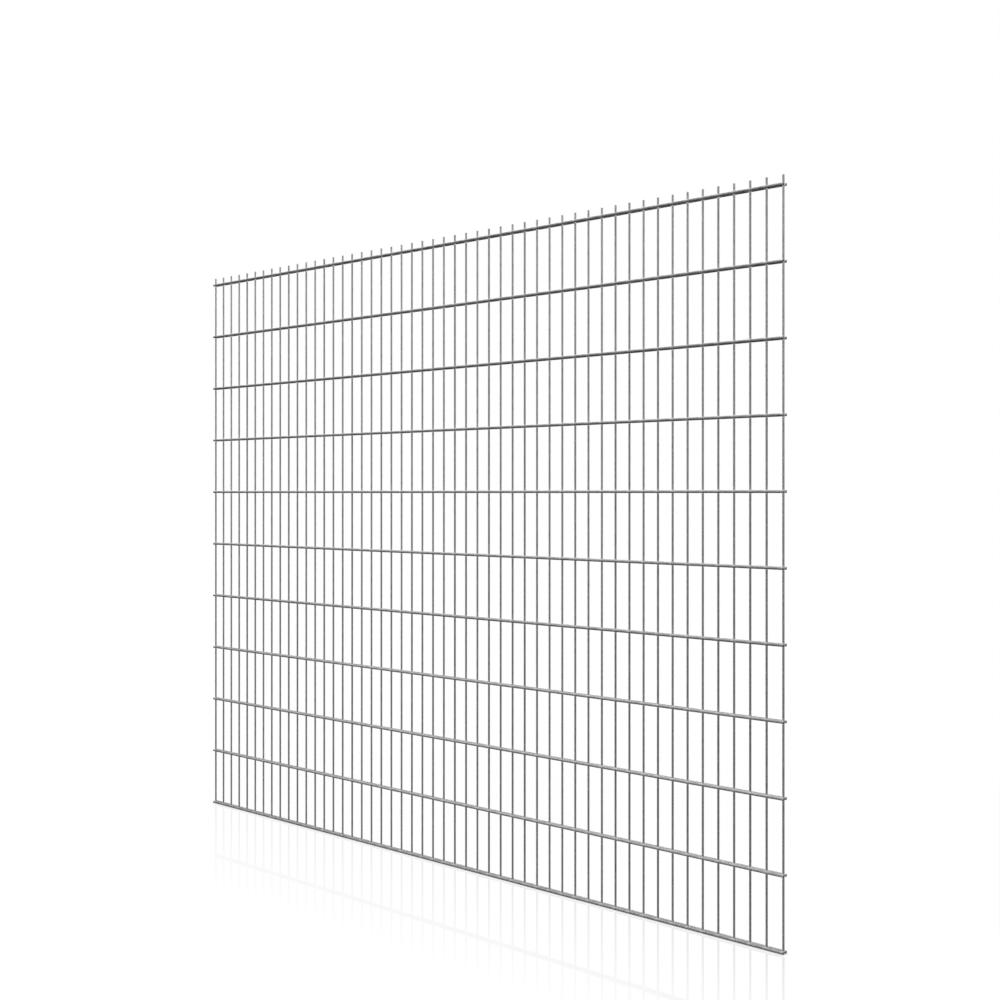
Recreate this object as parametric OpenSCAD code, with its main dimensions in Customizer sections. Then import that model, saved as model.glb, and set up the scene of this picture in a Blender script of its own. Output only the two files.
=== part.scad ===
// Twin-wire welded mesh panel of galvanised steel.
// Round uprights stand between pairs of thicker horizontal wires, and every crossing is
// resistance welded: the weld presses each upright a little way into both wires of the pair,
// so an upright carries one saddle for each wire that it meets.
// The origin is the centre of the middle upright's foot. +X runs to the right along the panel,
// -Y is the front, and +Z is up.

/* [Panel] */
// Overall width, which is the length of the horizontal wires
panel_w = 2510; // [510:50:3010]
// Overall height, which is the length of the uprights
panel_h = 2030; // [830:50:2430]

/* [Mesh] */
// Mesh width to aim at, between upright centres. The nearest one that divides the panel is used
mesh_w = 50; // [40:1:100]
// Mesh height to aim at, between row centres. The nearest one that divides the panel is used
mesh_h = 200; // [150:10:250]

/* [Wires] */
// Diameter of a horizontal wire
row_wire_d = 8; // [5:0.5:10]
// Diameter of an upright
upright_d = 6; // [4:0.5:8]
// How far each weld presses an upright into a horizontal wire
weld_set = 0.8; // [0.2:0.1:1.2]

/* [Ends] */
// How far the horizontal wires reach past the centres of the outermost uprights
side_reach = 5; // [5:1:25]
// How far the uprights stand above the centres of the top wires, as a row of spikes
spike_reach = 26; // [10:1:60]
// Width of the broken edge round the sheared end of every wire
end_break = 0.5; // [0.1:0.1:1]

/* [Hidden] */
$fn = 48;
galvanised = "#a6a8a9";
cutter_margin = 1;

// Rows: the undersides of the bottom wires are level with the feet of the uprights
bottom_row_z = row_wire_d / 2;
top_row_z = panel_h - spike_reach;
row_gaps = round((top_row_z - bottom_row_z) / mesh_h);
row_count = row_gaps + 1;
row_pitch = (top_row_z - bottom_row_z) / row_gaps;

// Uprights: one in the middle, and as many meshes to its left as to its right
half_span = panel_w / 2 - side_reach;
meshes_each_side = round(half_span / mesh_w);
upright_pitch = half_span / meshes_each_side;

// The uprights between the middle one and an edge stand in groups
inner_uprights = meshes_each_side - 1;
most_groups = 6;
uprights_in_group = ceil(inner_uprights / most_groups);
group_count = ceil(inner_uprights / uprights_in_group);

// Distance from the middle of an upright to the middle of a wire welded to it
row_offset = (row_wire_d + upright_d) / 2 - weld_set;

// Row 1 is the lowest. Upright 0 is the middle one, and they count outwards to either side
function row_z(row) = bottom_row_z + (row - 1) * row_pitch;
function numbered(word, number) = str(word, number < 10 ? "_0" : "_", number);
function places_in_group(group) = [
    for (k = [1:uprights_in_group])
        let (place = (group - 1) * uprights_in_group + k)
        if (place <= inner_uprights) place
];

// A straight wire along +Z, sheared square, with the edge of both ends broken
module rod(d, length) {
    rotate_extrude()
        polygon([
            [0, 0],
            [d / 2 - end_break, 0],
            [d / 2, end_break],
            [d / 2, length - end_break],
            [d / 2 - end_break, length],
            [0, length]
        ]);
}

// One horizontal wire of a row, in front of the uprights (side -1) or behind them (side 1)
module row_wire(row, side) {
    color(galvanised)
        translate([-panel_w / 2, side * row_offset, row_z(row)])
            rotate([0, 90, 0])
                rod(row_wire_d, panel_w);
}

// What the two horizontal wires of a row press out of an upright where they cross it
module saddles(row) {
    for (side = [-1, 1])
        translate([0, side * row_offset, row_z(row)])
            rotate([0, 90, 0])
                cylinder(d = row_wire_d, h = upright_d + 2 * cutter_margin, center = true);
}

// One upright with a saddle for each wire that it is welded to
module upright(place) {
    color(galvanised)
        translate([place * upright_pitch, 0, 0])
            difference() {
                rod(upright_d, panel_h);
                for (row = [1:row_count])
                    saddles(row);
            }
}

// A few neighbouring uprights, to the left (side -1) or the right (side 1) of the middle one
module upright_group(group, side) {
    for (place = places_in_group(group))
        upright(side * place);
}

for (row = [1:row_count]) {
    row_wire(row, -1);
    row_wire(row, 1);
}
upright(-meshes_each_side);  // left_edge_upright
upright(0);  // middle_upright
upright(meshes_each_side);  // right_edge_upright
for (group = [1:group_count]) {
    upright_group(group, -1);
    upright_group(group, 1);
}
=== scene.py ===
import math
import random

import bmesh
import bpy
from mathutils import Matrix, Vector


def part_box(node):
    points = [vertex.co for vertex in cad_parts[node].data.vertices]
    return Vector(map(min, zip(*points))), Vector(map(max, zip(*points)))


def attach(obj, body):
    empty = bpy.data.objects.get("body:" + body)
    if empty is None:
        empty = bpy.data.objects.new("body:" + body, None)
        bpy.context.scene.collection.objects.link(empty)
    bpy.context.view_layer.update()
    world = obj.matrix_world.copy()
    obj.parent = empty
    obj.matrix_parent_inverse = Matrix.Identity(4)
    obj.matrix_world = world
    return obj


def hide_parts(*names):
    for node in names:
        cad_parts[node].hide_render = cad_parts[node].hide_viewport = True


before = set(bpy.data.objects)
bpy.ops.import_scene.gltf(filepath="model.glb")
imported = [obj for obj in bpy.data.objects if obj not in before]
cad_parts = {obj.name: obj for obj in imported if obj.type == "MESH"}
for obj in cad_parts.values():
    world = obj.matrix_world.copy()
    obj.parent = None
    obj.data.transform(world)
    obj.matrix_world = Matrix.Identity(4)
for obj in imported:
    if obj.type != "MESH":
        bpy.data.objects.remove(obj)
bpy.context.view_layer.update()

# Looks for a galvanised twin-wire mesh panel: drawn wires with sheared ends, a bead of weld
# metal at every crossing, and a dull hot-dip zinc coat over all of it.
random.seed(4)


# Small helpers

def hexColour(code):
    # sRGB hex to the linear values that the shader sockets take
    def linear(c):
        return c / 12.92 if c <= 0.04045 else ((c + 0.055) / 1.055) ** 2.4
    code = code.lstrip("#")
    return tuple(linear(int(code[i:i + 2], 16) / 255) for i in (0, 2, 4)) + (1.0,)


def deselectAll():
    if bpy.context.object and bpy.context.object.mode != "OBJECT":
        bpy.ops.object.mode_set(mode="OBJECT")
    bpy.ops.object.select_all(action="DESELECT")


def pick(*objects):
    deselectAll()
    for o in objects:
        o.select_set(True)
    bpy.context.view_layer.objects.active = objects[0]


def editMesh(o):
    pick(o)
    bpy.ops.object.mode_set(mode="EDIT")
    bpy.ops.mesh.select_all(action="DESELECT")
    return bmesh.from_edit_mesh(o.data)


def selectVerts(o, test):
    # in edit mode: select the vertices that pass the test, and the edges and faces between them
    bpy.ops.mesh.select_mode(type="VERT")
    bpy.ops.mesh.select_all(action="DESELECT")
    mesh = bmesh.from_edit_mesh(o.data)
    for v in mesh.verts:
        v.select = test(v.co)
    mesh.select_flush_mode()
    bmesh.update_edit_mesh(o.data)


def applyPlace(o):
    pick(o)
    bpy.ops.object.transform_apply(location=True, rotation=True, scale=True)


def copyOf(o, name):
    pick(o)
    bpy.ops.object.duplicate(linked=False)
    new = bpy.context.object
    new.name = name
    new.data.name = name
    return new


def joined(objects, name):
    pick(*objects)
    bpy.ops.object.join()
    whole = bpy.context.object
    whole.name = name
    whole.data.name = name
    return whole


def addNode(mat, kind, inputs=None, **settings):
    # inputs: socket name or number -> a value, or an output socket to link from
    n = mat.node_tree.nodes.new(kind)
    for key, value in settings.items():
        setattr(n, key, value)
    for key, value in (inputs or {}).items():
        if isinstance(value, bpy.types.NodeSocket):
            mat.node_tree.links.new(value, n.inputs[key])
        else:
            n.inputs[key].default_value = value
    return n


def emptyMaterial(name):
    mat = bpy.data.materials.new(name)
    mat.use_nodes = True
    mat.node_tree.nodes.clear()
    return mat


# Where the wires and their welds lie, from the frame
def centreOf(node):
    low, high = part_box(node)
    return (low + high) / 2


rowNumbers = sorted(name[-2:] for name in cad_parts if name.startswith("front_wire_"))
firstRow = centreOf("front_wire_01").z
rowPitch = centreOf("front_wire_02").z - firstRow
# a packed wire has flat sides, and its narrower way keeps the turned wires inside the whole's box
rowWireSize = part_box("front_wire_01")[1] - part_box("front_wire_01")[0]
rowDiameter = min(rowWireSize.y, rowWireSize.z)
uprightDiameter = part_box("middle_upright")[1].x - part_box("middle_upright")[0].x
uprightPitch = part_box("right_uprights_01")[0].x + uprightDiameter / 2


def placesIn(node):
    # the middles of the uprights that a node holds, left to right
    low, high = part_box(node)
    first = low.x + uprightDiameter / 2
    count = round((high.x - low.x - uprightDiameter) / uprightPitch) + 1
    return [first + k * uprightPitch for k in range(count)]


# Hot-dip zinc on drawn steel wire, weathered for a season: a dull mid grey, not mirror bright.
# Small zinc crystals each take the light a little differently, soft clouds of oxide lie over them,
# faint die lines run along the wire, and beside the welds the zinc is paler: partly its thicker coat,
# partly painted light that lifts the shade the wires cast on each other at the crossings
zinc = {
    "light": "#cfcfcf",
    "dark": "#969696",
    "pit": "#787878",
    "freshZincAndPaintedLight": "#ececec",      # the thick zinc at the welds, made paler still as painted light where the wires shade each other
    "crystalAlong": 0.0028,  # m, size of a zinc crystal
    "crystalAcross": 0.0020,
    "crystalShare": 0.65,
    "crystalFray": 0.0009,   # m, how far a crystal's edge wanders
    "cloudAlong": 0.030,     # m, oxide clouds
    "cloudAcross": 0.012,
    "lineAlong": 0.080,      # m, die lines, drawn coarser than they are so that they show
    "lineAcross": 0.0007,
    "grain": 0.0011,         # m, frosting, drawn coarser too
    "wireToWire": 0.42,      # how far two wires may differ in tone
    "weldZincAndLightReach": 0.0080,     # m, the pale zone of thick zinc and painted light ends about this far from the weld's middle
    "weldZincAndLightOnRowWire": 0.31,       # how pale it is there: thick zinc and painted light
    "weldZincAndLightOnUpright": 0.95,
    "drained": 0.0010,       # m, how far that pale zone lies down the uprights, as zinc that ran down before it set
    "roughness": 0.56,
    "metallic": 0.0,
    "specular": 0.04,
    "relief": 0.00012,       # m
}


def zincMaterial(name, along, weldZincAndLightShare, firstWeld, weldPitch, cellStart, cellSize):
    # along: the axis that the wire runs on. The cells keep one wire apart from the next
    mat = emptyMaterial(name)
    coords = addNode(mat, "ShaderNodeTexCoord").outputs["Object"]
    scales = {}
    for pattern in ("crystal", "cloud", "line"):
        scales[pattern] = [1 / zinc[pattern + "Across"]] * 3
        scales[pattern][along] = 1 / zinc[pattern + "Along"]

    grain = addNode(mat, "ShaderNodeTexNoise", {
        "Vector": coords, "Scale": 1 / zinc["grain"], "Detail": 2.0, "Roughness": 0.6})
    frayed = addNode(mat, "ShaderNodeVectorMath", {
        0: grain.outputs["Color"], 1: [zinc["crystalFray"]] * 3, 2: coords},
        operation="MULTIPLY_ADD")
    onCrystals = addNode(mat, "ShaderNodeMapping", {
        "Vector": frayed.outputs[0], "Scale": scales["crystal"]})
    crystals = addNode(mat, "ShaderNodeTexVoronoi", {"Vector": onCrystals.outputs[0], "Scale": 1.0})
    crystal = addNode(mat, "ShaderNodeSeparateXYZ", {0: crystals.outputs["Color"]}).outputs[0]
    onClouds = addNode(mat, "ShaderNodeMapping", {"Vector": coords, "Scale": scales["cloud"]})
    clouds = addNode(mat, "ShaderNodeTexNoise", {
        "Vector": onClouds.outputs[0], "Scale": 1.0, "Detail": 3.0, "Roughness": 0.6}).outputs[0]
    onLines = addNode(mat, "ShaderNodeMapping", {"Vector": coords, "Scale": scales["line"]})
    lines = addNode(mat, "ShaderNodeTexNoise", {
        "Vector": onLines.outputs[0], "Scale": 1.0, "Detail": 2.0, "Roughness": 0.5}).outputs[0]

    # crystals, clouds and a tone of each wire's own add up to one tone between dark and light
    fromStart = addNode(mat, "ShaderNodeVectorMath", {0: coords, 1: cellStart}, operation="SUBTRACT")
    cell = addNode(mat, "ShaderNodeVectorMath", {0: fromStart.outputs[0], 1: cellSize},
                   operation="SNAP")
    wire = addNode(mat, "ShaderNodeTexWhiteNoise", {"Vector": cell.outputs[0]}).outputs["Value"]
    wireTone = addNode(mat, "ShaderNodeMapRange", {
        "Value": wire, "To Min": -zinc["wireToWire"] / 2, "To Max": zinc["wireToWire"] / 2})
    crystalTone = addNode(mat, "ShaderNodeMath", {
        0: crystal, 1: zinc["crystalShare"], 2: wireTone.outputs[0]}, operation="MULTIPLY_ADD")
    cloudSpread = addNode(mat, "ShaderNodeMapRange", {
        "Value": clouds, "From Min": 0.3, "From Max": 0.75})
    tone = addNode(mat, "ShaderNodeMath", {
        0: cloudSpread.outputs[0], 1: 1 - zinc["crystalShare"], 2: crystalTone.outputs[0]},
        operation="MULTIPLY_ADD")
    coat = addNode(mat, "ShaderNodeMix", {
        "Factor": tone.outputs[0], 6: hexColour(zinc["dark"]), 7: hexColour(zinc["light"])},
        data_type="RGBA")
    lineAmount = addNode(mat, "ShaderNodeMapRange", {
        "Value": lines, "From Min": 0.5, "From Max": 0.75, "To Max": 0.4})
    lined = addNode(mat, "ShaderNodeMix", {
        "Factor": lineAmount.outputs[0], 6: coat.outputs[2], 7: hexColour(zinc["dark"])},
        data_type="RGBA")

    # distance along the wire to the nearest weld, uneven from crystal to crystal
    place = addNode(mat, "ShaderNodeSeparateXYZ", {0: coords}).outputs[along]
    fromFirst = addNode(mat, "ShaderNodeMath", {0: place, 1: firstWeld}, operation="SUBTRACT")
    toWeld = addNode(mat, "ShaderNodeMath", {
        0: fromFirst.outputs[0], 1: weldPitch / 2}, operation="PINGPONG")
    unevenWeld = addNode(mat, "ShaderNodeMath", {
        0: crystal, 1: 0.5 * zinc["weldZincAndLightReach"], 2: toWeld.outputs[0]}, operation="MULTIPLY_ADD")
    # near each weld the zinc turns paler: partly the thicker zinc there, partly painted light on the
    # uprights just under the row wires and on the row wires at the crossings
    weldZincAndLightAmount = addNode(mat, "ShaderNodeMapRange", {
        "Value": unevenWeld.outputs[0], "From Min": 0.5 * zinc["weldZincAndLightReach"],
        "From Max": 1.2 * zinc["weldZincAndLightReach"], "To Min": weldZincAndLightShare, "To Max": 0.0})
    weldZincAndLight = addNode(mat, "ShaderNodeMix", {
        "Factor": weldZincAndLightAmount.outputs[0], 6: lined.outputs[2], 7: hexColour(zinc["freshZincAndPaintedLight"])},
        data_type="RGBA")
    pitAmount = addNode(mat, "ShaderNodeMapRange", {
        "Value": grain.outputs[0], "From Min": 0.58, "From Max": 0.8, "To Max": 0.6})
    pitted = addNode(mat, "ShaderNodeMix", {
        "Factor": pitAmount.outputs[0], 6: weldZincAndLight.outputs[2], 7: hexColour(zinc["pit"])},
        data_type="RGBA")

    # crystals differ in gloss as well, and the frosting is a little rough to the touch
    roughness = addNode(mat, "ShaderNodeMapRange", {
        "Value": crystal, "To Min": zinc["roughness"] + 0.12, "To Max": zinc["roughness"] - 0.12})
    height = addNode(mat, "ShaderNodeMath", {0: clouds, 1: grain.outputs[0]}, operation="MULTIPLY")
    bump = addNode(mat, "ShaderNodeBump", {
        "Height": height.outputs[0], "Strength": 0.7, "Distance": zinc["relief"]})
    shader = addNode(mat, "ShaderNodeBsdfPrincipled", {
        "Base Color": pitted.outputs[2], "Roughness": roughness.outputs[0],
        "Normal": bump.outputs[0], "Metallic": zinc["metallic"],
        "Specular IOR Level": zinc["specular"]})
    addNode(mat, "ShaderNodeOutputMaterial", {"Surface": shader.outputs[0]})
    return mat


zincOnRowWire = zincMaterial("hot_dip_zinc_on_row_wire", 0, zinc["weldZincAndLightOnRowWire"], 0, uprightPitch,
                             (-50, 0, -rowPitch / 2), (100, 0.04, rowPitch))
zincOnUpright = zincMaterial("hot_dip_zinc_on_upright", 2, zinc["weldZincAndLightOnUpright"],
                             firstRow - zinc["drained"], rowPitch,
                             (-uprightPitch / 2, -0.02, -50), (uprightPitch, 0.04, 100))


# Ends sheared after the dip: bare drawn steel under a thin dark oxide, with the fine parallel
# marks that the blade leaves, so it looks darker and a little glossier than the zinc
cutSteel = {
    "bright": "#6c6c6c",
    "oxide": "#454545",
    "mark": 0.0003,    # m, spacing of the blade marks
    "roughness": 0.5,
    "metallic": 0.3,
}


def cutSteelMaterial():
    mat = emptyMaterial("sheared_steel")
    coords = addNode(mat, "ShaderNodeTexCoord").outputs["Object"]
    onMarks = addNode(mat, "ShaderNodeMapping", {
        "Vector": coords, "Scale": (1 / cutSteel["mark"], 300, 1 / cutSteel["mark"])})
    marks = addNode(mat, "ShaderNodeTexNoise", {
        "Vector": onMarks.outputs[0], "Scale": 1.0, "Detail": 2.0}).outputs[0]
    rust = addNode(mat, "ShaderNodeTexNoise", {"Vector": coords, "Scale": 500.0, "Detail": 3.0})
    amount = addNode(mat, "ShaderNodeMath", {0: marks, 1: rust.outputs[0]}, operation="MULTIPLY")
    spread = addNode(mat, "ShaderNodeMapRange", {
        "Value": amount.outputs[0], "From Min": 0.15, "From Max": 0.4})
    colour = addNode(mat, "ShaderNodeMix", {
        "Factor": spread.outputs[0], 6: hexColour(cutSteel["oxide"]),
        7: hexColour(cutSteel["bright"])}, data_type="RGBA")
    bump = addNode(mat, "ShaderNodeBump", {
        "Height": marks, "Strength": 0.5, "Distance": 0.00005})
    shader = addNode(mat, "ShaderNodeBsdfPrincipled", {
        "Base Color": colour.outputs[2], "Normal": bump.outputs[0],
        "Metallic": cutSteel["metallic"], "Roughness": cutSteel["roughness"]})
    addNode(mat, "ShaderNodeOutputMaterial", {"Surface": shader.outputs[0]})
    return mat


cutEnd = cutSteelMaterial()
print("materials ready")


# One sheared wire, lying along Z about the origin. The shears leave each end slightly tilted,
# rolled over where the blade went in and with a small burr where it came out
shear = {
    "margin": 0.0002,    # m, what tilt and burr may use up before the cut would leave the frame
    "rollOver": 0.0005,  # m
    "tilt": 1.6,         # degrees
    "burr": 0.00006,     # m
}


def shearedWire(name, diameter, length, sides, coat):
    depth = length - 2 * shear["margin"]
    deselectAll()
    bpy.ops.mesh.primitive_cylinder_add(vertices=sides, radius=diameter / 2, depth=depth,
                                        end_fill_type="NGON")
    wire = bpy.context.object
    wire.name = name
    wire.data.materials.append(coat)
    wire.data.materials.append(cutEnd)
    editMesh(wire)
    selectVerts(wire, lambda co: abs(abs(co.z) - depth / 2) < 1e-5)
    bpy.ops.mesh.bevel(offset=shear["rollOver"], segments=2, affect="EDGES")
    for end in (-1, 1):
        cap = Vector((0, 0, end * depth / 2))
        selectVerts(wire, lambda co: abs(co.z - cap.z) < 1e-5)
        bpy.ops.transform.rotate(value=math.radians(shear["tilt"]), orient_axis="X",
                                 center_override=cap)
        selectVerts(wire, lambda co: end * co.z > depth / 2 - 0.3 * shear["rollOver"]
                    and end * co.y > 0.3 * diameter)
        bpy.ops.transform.translate(value=(0, 0, end * shear["burr"]))
        # the cut face: bare steel, its middle a shade lower than its rim
        bpy.ops.mesh.select_mode(type="FACE")
        bpy.ops.mesh.select_all(action="DESELECT")
        mesh = bmesh.from_edit_mesh(wire.data)
        for f in mesh.faces:
            f.select = len(f.verts) == sides and end * f.calc_center_median().z > 0
        bmesh.update_edit_mesh(wire.data)
        wire.active_material_index = 1
        bpy.ops.object.material_slot_assign()
        bpy.ops.mesh.inset(thickness=0.12 * diameter, depth=-0.0001)
    bpy.ops.object.mode_set(mode="OBJECT")
    bpy.ops.object.shade_smooth_by_angle(angle=math.radians(40))
    return wire


# Horizontal wires, each standing for its node
rowWire = {"sides": 44}


def makeRowWires():
    low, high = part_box("front_wire_01")
    model = shearedWire("row_wire_model", rowDiameter, high.x - low.x, rowWire["sides"],
                        zincOnRowWire)
    model.rotation_euler = (0, math.pi / 2, 0)
    applyPlace(model)
    for side in ("front", "back"):
        for number in rowNumbers:
            node = f"{side}_wire_{number}"
            wire = copyOf(model, f"zinc_{node}")
            # each wire leaves the shears turned its own way
            wire.rotation_euler = (random.uniform(0, 2 * math.pi), 0, 0)
            wire.location = centreOf(node)
            applyPlace(wire)
            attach(wire, "root")
            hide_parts(node)
    bpy.data.objects.remove(model)
    print("row wires:", 2 * len(rowNumbers))


makeRowWires()


# Uprights. A node holds one upright, or a few that stand side by side
upright = {"sides": 40}


def makeUprights():
    low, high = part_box("middle_upright")
    model = shearedWire("upright_model", uprightDiameter, high.z - low.z, upright["sides"],
                        zincOnUpright)
    nodes = sorted(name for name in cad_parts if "upright" in name)
    for node in nodes:
        wires = []
        for k, x in enumerate(placesIn(node)):
            wire = copyOf(model, f"zinc_{node}_{k}")
            wire.rotation_euler = (0, 0, random.uniform(0, 2 * math.pi))
            wire.location = (x, 0, (low.z + high.z) / 2)
            applyPlace(wire)
            wires.append(wire)
        group = wires[0] if len(wires) == 1 else joined(wires, f"zinc_{node}")
        group.name = group.data.name = f"zinc_{node}"
        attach(group, "root")
        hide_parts(node)
    bpy.data.objects.remove(model)
    print("upright pieces:", len(nodes))


makeUprights()


# Weld metal squeezed out round each contact patch, with the zinc that stayed in the corner: an
# oval collar between an upright and a horizontal wire, bent round the upright
weldBead = {
    "halfWidth": 0.0023,   # m, sideways, just outside the patch
    "halfHeight": 0.0028,  # m
    "thickness": 0.0016,   # m, across the bead
    "bend": 0.0009,        # m, how far the sides lie behind the top and bottom
    "unevenness": 0.0005,  # m
}


def makeWelds():
    deselectAll()
    bpy.ops.mesh.primitive_torus_add(
        major_segments=12, minor_segments=5, major_radius=weldBead["halfWidth"],
        minor_radius=weldBead["thickness"] / 2, rotation=(math.pi / 2, 0, 0))
    bead = bpy.context.object
    bead.scale = (1, weldBead["halfHeight"] / weldBead["halfWidth"], 1)
    applyPlace(bead)
    editMesh(bead)
    for share, part in ((0.45, 0.4), (0.85, 0.6)):
        selectVerts(bead, lambda co: abs(co.x) > share * weldBead["halfWidth"])
        bpy.ops.transform.translate(value=(0, part * weldBead["bend"], 0))
    bpy.ops.object.mode_set(mode="OBJECT")
    bpy.ops.object.shade_smooth()
    bead.data.materials.append(zincOnUpright)

    noise = bpy.data.textures.new("weld_unevenness", "CLOUDS")
    noise.noise_scale = 0.003
    edge = placesIn("left_edge_upright")[0]
    count = round(-2 * edge / uprightPitch) + 1
    # the patch lies where the upright's face meets the wire's
    patchDepth = -uprightDiameter / 2 - 0.0002
    for side, way in (("front", 1), ("back", -1)):
        for number in rowNumbers:
            row = centreOf(f"{side}_wire_{number}")
            welds = copyOf(bead, f"{side}_welds_{number}")
            welds.rotation_euler = (0, 0, 0 if side == "front" else math.pi)
            welds.location = (edge, way * patchDepth, row.z)
            applyPlace(welds)
            repeat = welds.modifiers.new("along the row", "ARRAY")
            repeat.use_relative_offset = False
            repeat.use_constant_offset = True
            repeat.constant_offset_displace = (uprightPitch, 0, 0)
            repeat.count = count
            bpy.ops.object.modifier_apply(modifier=repeat.name)
            uneven = welds.modifiers.new("unevenness", "DISPLACE")
            uneven.texture = noise
            uneven.texture_coords = "LOCAL"
            uneven.strength = weldBead["unevenness"]
            uneven.mid_level = 0.5
            bpy.ops.object.modifier_apply(modifier=uneven.name)
            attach(welds, "root")
    bpy.data.objects.remove(bead)
    print("welds:", 2 * len(rowNumbers) * count)


makeWelds()


# Studio: a large soft lamp overhead, a weaker even sky, and a white floor and backdrop that
# the camera and reflections see. The floor throws little light back up, so undersides stay dark
studio = {
    "lampPlace": (1.6, -1.8, 5.0),
    "lampSize": 10.0,    # m
    "lampPower": 600.0,  # W
    "shadowless": 0.7,   # share of that power that casts no shadow
    "sky": 0.01,
    "floorBounce": "#141414",
    "floorShade": 0.03,  # share of the floor's white that shadows can take away
    "contactShade": 0.5,    # how dark the floor gets right under the bottom wires
    "contactReach": 0.012,  # m
    "glossLeft": 0.14,   # how much the floor mirrors at the panel's left end
    "glossRight": 0.23,
    "glossGap": 0.022,   # m, the mirror image starts this far from the panel's middle plane
    "glossReach": 0.68,  # m, and has died away at this distance
    "shadeReach": 2.5,   # m, from the panel to where its shadow on the floor has died away
}


def whiteForCamera(mat):
    path = addNode(mat, "ShaderNodeLightPath")
    seen = addNode(mat, "ShaderNodeMath", {
        0: path.outputs["Is Camera Ray"], 1: path.outputs["Is Glossy Ray"]}, operation="MAXIMUM")
    return addNode(mat, "ShaderNodeMath", {
        0: seen.outputs[0], 1: path.outputs["Is Transmission Ray"]}, operation="MAXIMUM").outputs[0]


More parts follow.
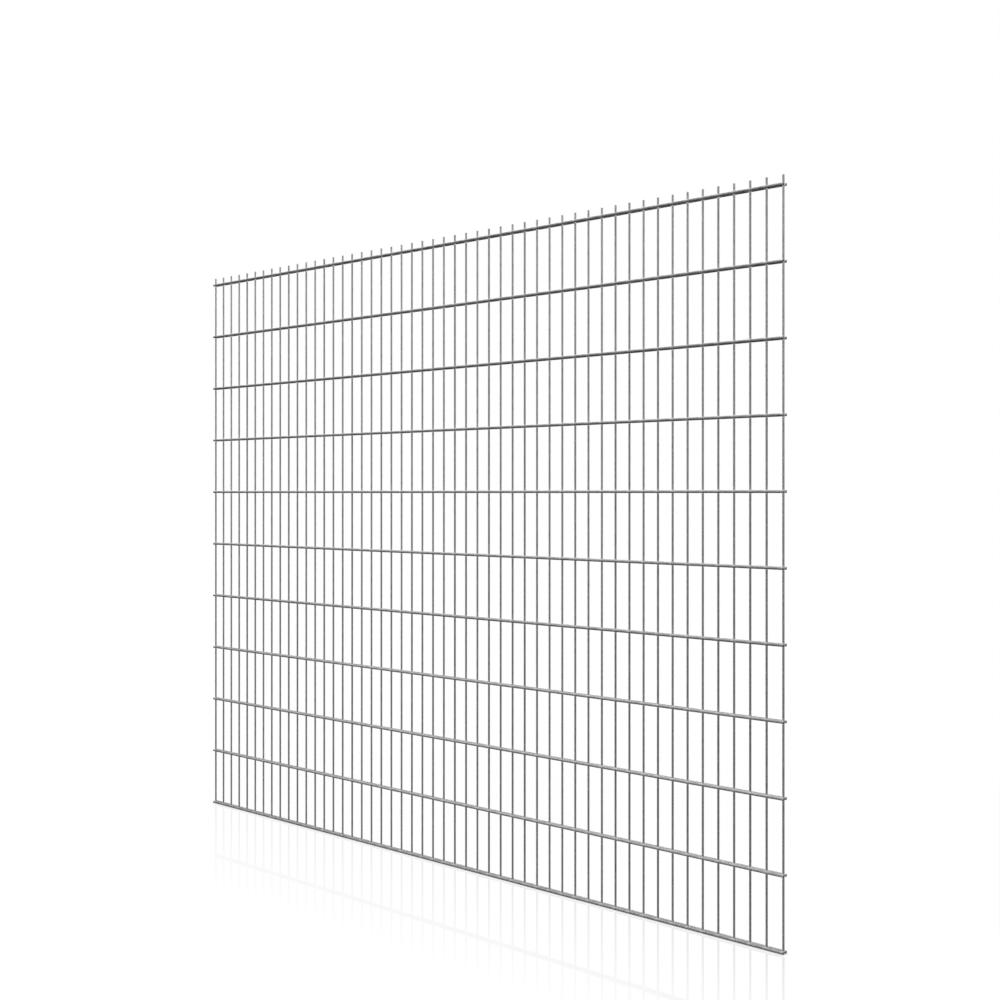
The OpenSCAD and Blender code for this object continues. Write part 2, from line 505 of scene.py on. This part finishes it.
def makeFloor():
    deselectAll()
    bpy.ops.mesh.primitive_plane_add(size=60, location=(0, 0, -0.0005))
    floor = bpy.context.object
    floor.name = "floor"
    applyPlace(floor)
    mat = emptyMaterial("matt_white_floor")
    seen = whiteForCamera(mat)
    colour = addNode(mat, "ShaderNodeMix", {
        "Factor": seen, 6: hexColour(studio["floorBounce"]), 7: (1, 1, 1, 1)},
        data_type="RGBA")
    matt = addNode(mat, "ShaderNodeBsdfDiffuse", {"Color": colour.outputs[2]})
    contact = addNode(mat, "ShaderNodeAmbientOcclusion", {"Distance": studio["contactReach"]})
    level = addNode(mat, "ShaderNodeMapRange", {
        "Value": contact.outputs["AO"], "To Min": 1 - studio["contactShade"], "To Max": 1.0})
    strength = addNode(mat, "ShaderNodeMath", {0: level.outputs[0], 1: seen}, operation="MULTIPLY")
    glow = addNode(mat, "ShaderNodeEmission", {"Color": (1, 1, 1, 1), "Strength": strength.outputs[0]})
    place = addNode(mat, "ShaderNodeTexCoord").outputs["Object"]
    distance = addNode(mat, "ShaderNodeVectorMath", {0: place}, operation="LENGTH")
    glowShare = addNode(mat, "ShaderNodeMapRange", {
        "Value": distance.outputs["Value"], "From Min": 1.2, "From Max": studio["shadeReach"],
        "To Min": 1 - studio["floorShade"], "To Max": 1.0})
    white = addNode(mat, "ShaderNodeMixShader", {
        0: glowShare.outputs[0], 1: matt.outputs[0], 2: glow.outputs[0]})
    dark = addNode(mat, "ShaderNodeMixShader", {
        0: seen, 1: matt.outputs[0], 2: white.outputs[0]})
    axes = addNode(mat, "ShaderNodeSeparateXYZ", {0: place})
    away = addNode(mat, "ShaderNodeMath", {0: axes.outputs["Y"]}, operation="ABSOLUTE")
    along = addNode(mat, "ShaderNodeMapRange", {
        "Value": axes.outputs["X"], "From Min": -1.25, "From Max": 1.25,
        "To Min": studio["glossLeft"], "To Max": studio["glossRight"]})
    fading = addNode(mat, "ShaderNodeMapRange", {
        "Value": away.outputs[0], "From Max": studio["glossReach"], "To Min": 1.0, "To Max": 0.0})
    starting = addNode(mat, "ShaderNodeMapRange", {
        "Value": away.outputs[0], "From Min": studio["glossGap"] - 0.006,
        "From Max": studio["glossGap"]})
    fadingGloss = addNode(mat, "ShaderNodeMath", {
        0: along.outputs[0], 1: fading.outputs[0]}, operation="MULTIPLY")
    gloss = addNode(mat, "ShaderNodeMath", {
        0: fadingGloss.outputs[0], 1: starting.outputs[0]}, operation="MULTIPLY")
    mirror = addNode(mat, "ShaderNodeBsdfGlossy", {"Color": (1, 1, 1, 1), "Roughness": 0.03})
    surface = addNode(mat, "ShaderNodeMixShader", {
        0: gloss.outputs[0], 1: dark.outputs[0], 2: mirror.outputs[0]})
    addNode(mat, "ShaderNodeOutputMaterial", {"Surface": surface.outputs[0]})
    floor.data.materials.append(mat)


def makeSky():
    world = bpy.data.worlds.new("studio")
    bpy.context.scene.world = world
    world.use_nodes = True
    world.node_tree.nodes.clear()
    seen = whiteForCamera(world)
    strength = addNode(world, "ShaderNodeMapRange", {
        "Value": seen, "To Min": studio["sky"], "To Max": 1.0})
    light = addNode(world, "ShaderNodeBackground", {
        "Color": (1, 1, 1, 1), "Strength": strength.outputs[0]})
    addNode(world, "ShaderNodeOutputWorld", {"Surface": light.outputs[0]})


def makeLamp(name, share, castsShadow):
    deselectAll()
    bpy.ops.object.light_add(type="AREA", location=studio["lampPlace"])
    lamp = bpy.context.object
    lamp.name = name
    lamp.data.shape = "SQUARE"
    lamp.data.size = studio["lampSize"]
    lamp.data.energy = share * studio["lampPower"]
    lamp.data.use_shadow = castsShadow
    lamp.data.cycles.use_multiple_importance_sampling = castsShadow
    lamp.visible_camera = False


makeFloor()
makeSky()
makeLamp("soft_lamp_overhead", 1 - studio["shadowless"], True)
makeLamp("soft_lamp_overhead_without_shadow", studio["shadowless"], False)

bpy.context.scene.view_settings.view_transform = "Standard"


# The camera stands level to the right of the panel's front, fitted to the panel's wires in a
# square picture of 1000 by 1000
viewpoint = {
    "place": (3.0518, -3.0473, 1.2002),
    "turn": 42.626,   # degrees
    "lens": 47.869,   # mm on a 36 mm sensor
    "shiftUp": -0.007,
}

cameraData = bpy.data.cameras.new("camera")
cameraData.sensor_width = 36.0
cameraData.lens = viewpoint["lens"]
cameraData.shift_y = viewpoint["shiftUp"]
cameraData.clip_end = 200
camera = bpy.data.objects.new("camera", cameraData)
bpy.context.scene.collection.objects.link(camera)
camera.location = viewpoint["place"]
camera.rotation_euler = (math.pi / 2, 0, math.radians(viewpoint["turn"]))
bpy.context.scene.camera = camera
print("studio and camera ready")


bpy.context.view_layer.update()
